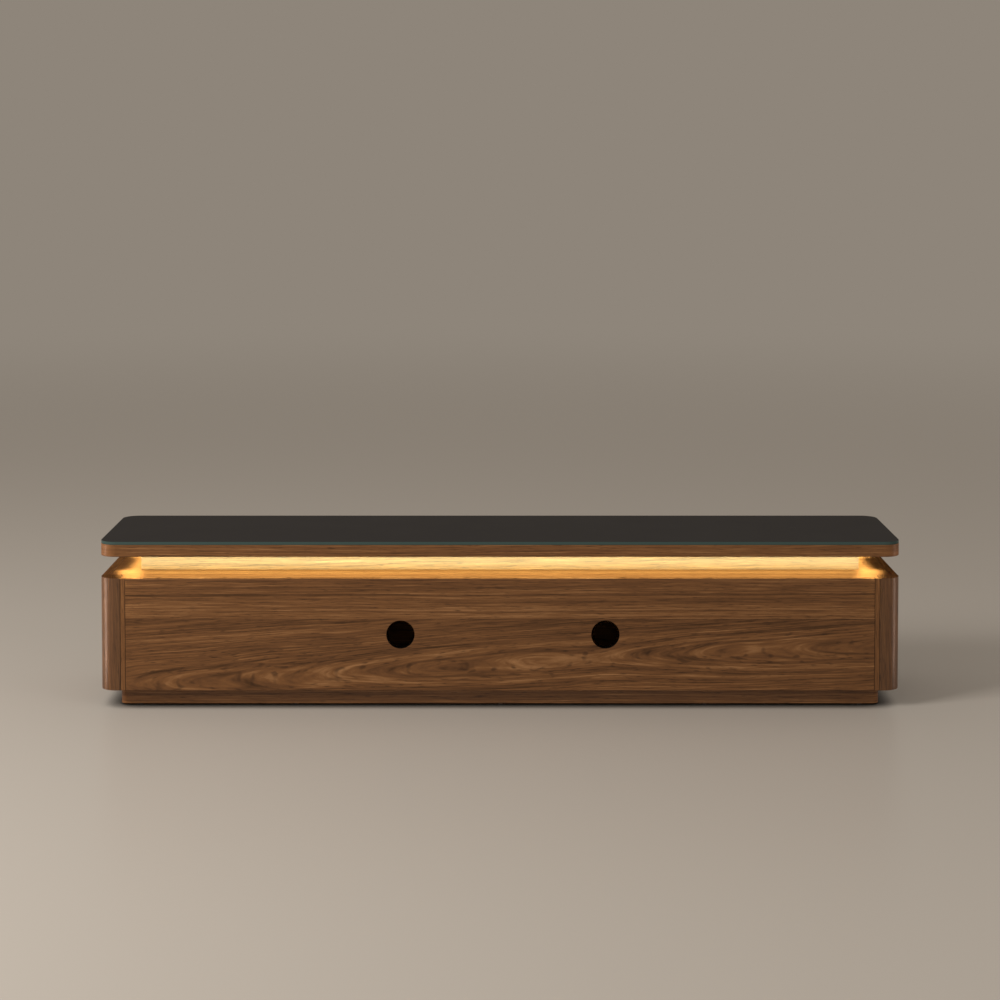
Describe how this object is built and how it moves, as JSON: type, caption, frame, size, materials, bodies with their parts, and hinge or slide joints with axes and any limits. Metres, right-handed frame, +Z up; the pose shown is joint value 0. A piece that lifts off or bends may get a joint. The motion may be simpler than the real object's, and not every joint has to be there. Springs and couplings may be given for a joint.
{
  "type": "tv stand",
  "caption": "Low walnut media stand with a black glass top over a lit recess, rounded corner posts, rear cable outlets, drawers and drop flaps on a set-back plinth.",
  "frame": {"origin": "on the floor under the middle of the stand", "axes": "+X along the length, +Z up, -Y is the rear face with the cable outlets, +Y the storage front"},
  "size_m": [2, 0.4, 0.42],
  "materials": {
    "walnut_long": "satin lacquered walnut veneer, grain lengthwise",
    "walnut_upright": "satin lacquered walnut, grain upright",
    "birch_ply": "clear lacquered birch plywood",
    "pine_block": "planed pine",
    "black_glass": "back-painted toughened glass, polished edge",
    "aluminium": "satin anodised",
    "zinc_steel": "zinc plated",
    "opal_lens": "opal diffuser",
    "led_board": "white flexible circuit",
    "black_plastic": "moulded",
    "white_plastic": "moulded",
    "black_lead": "extruded sheath"
  },
  "bodies": {
    "carcass": {"top_board": "walnut_long", "neck_rear_board": "walnut_long", "neck_front_board": "walnut_long", "neck_ends": "walnut_long", "deck_panel": "walnut_long", "bottom_panel": "walnut_long", "rear_panel": "walnut_long", "side_panel_left": "walnut_long", "side_panel_right": "walnut_long", "divider_left": "walnut_long", "divider_centre": "walnut_long", "divider_right": "walnut_long", "plinth_rear_rail": "walnut_long", "plinth_front_rail": "walnut_long", "plinth_end_rails": "walnut_long", "post_rear_left": "walnut_upright", "post_rear_right": "walnut_upright", "post_front_left": "walnut_upright", "post_front_right": "walnut_upright", "rear_lippings": "walnut_upright", "front_lippings": "walnut_upright", "carcass_dowels": "birch_ply", "neck_ribs": "pine_block", "plinth_bearers": "pine_block", "slide_packers": "pine_block", "glass_top": "black_glass", "led_profile_long": "aluminium", "led_profile_end": "aluminium", "slide_cabinet_members": "zinc_steel", "hinge_fixed_leaves": "zinc_steel", "hinge_pins": "zinc_steel", "neck_screws": "zinc_steel", "led_lens_long": "opal_lens", "led_lens_end": "opal_lens", "led_tape_long": "led_board", "led_tape_end": "led_board", "led_driver": "black_plastic", "led_inlet": "black_plastic", "floor_glides": "black_plastic", "magnet_catches": "white_plastic", "led_splitter": "white_plastic", "led_leads": "black_lead"},
    "left_drawer": {"left_drawer_front": "walnut_long", "left_drawer_sides": "birch_ply", "left_drawer_back": "birch_ply", "left_drawer_bottom": "birch_ply", "left_drawer_slide_members": "zinc_steel"},
    "right_drawer": {"right_drawer_front": "walnut_long", "right_drawer_sides": "birch_ply", "right_drawer_back": "birch_ply", "right_drawer_bottom": "birch_ply", "right_drawer_slide_members": "zinc_steel"},
    "left_slide_middle": {"left_slide_middles": "zinc_steel"},
    "right_slide_middle": {"right_slide_middles": "zinc_steel"},
    "left_flap": {"left_flap_board": "walnut_long", "left_flap_leaves": "zinc_steel", "left_flap_strike": "zinc_steel"},
    "right_flap": {"right_flap_board": "walnut_long", "right_flap_leaves": "zinc_steel", "right_flap_strike": "zinc_steel"}
  },
  "joints": [
    {"name": "left_drawer_slide", "type": "slide", "parent": "carcass", "child": "left_drawer", "axis": [0, 1, 0], "range_m": [0, 0.3]},
    {"name": "left_middle_slide", "type": "slide", "parent": "carcass", "child": "left_slide_middle", "axis": [0, 1, 0], "range_m": [0, 0.15]},
    {"name": "left_flap_hinge", "type": "hinge", "parent": "carcass", "child": "left_flap", "pos_m": [-0.257, 0.18075, 0.04295], "axis": [-1, 0, 0], "range_deg": [0, 90]},
    {"name": "right_drawer_slide", "type": "slide", "parent": "carcass", "child": "right_drawer", "axis": [0, 1, 0], "range_m": [0, 0.3]},
    {"name": "right_middle_slide", "type": "slide", "parent": "carcass", "child": "right_slide_middle", "axis": [0, 1, 0], "range_m": [0, 0.15]},
    {"name": "right_flap_hinge", "type": "hinge", "parent": "carcass", "child": "right_flap", "pos_m": [0.257, 0.18075, 0.04295], "axis": [-1, 0, 0], "range_deg": [0, 90]}
  ],
  "couplings": [
    {"joint": "left_middle_slide", "follows": "left_drawer_slide", "ratio": 0.5},
    {"joint": "right_middle_slide", "follows": "right_drawer_slide", "ratio": 0.5}
  ]
}
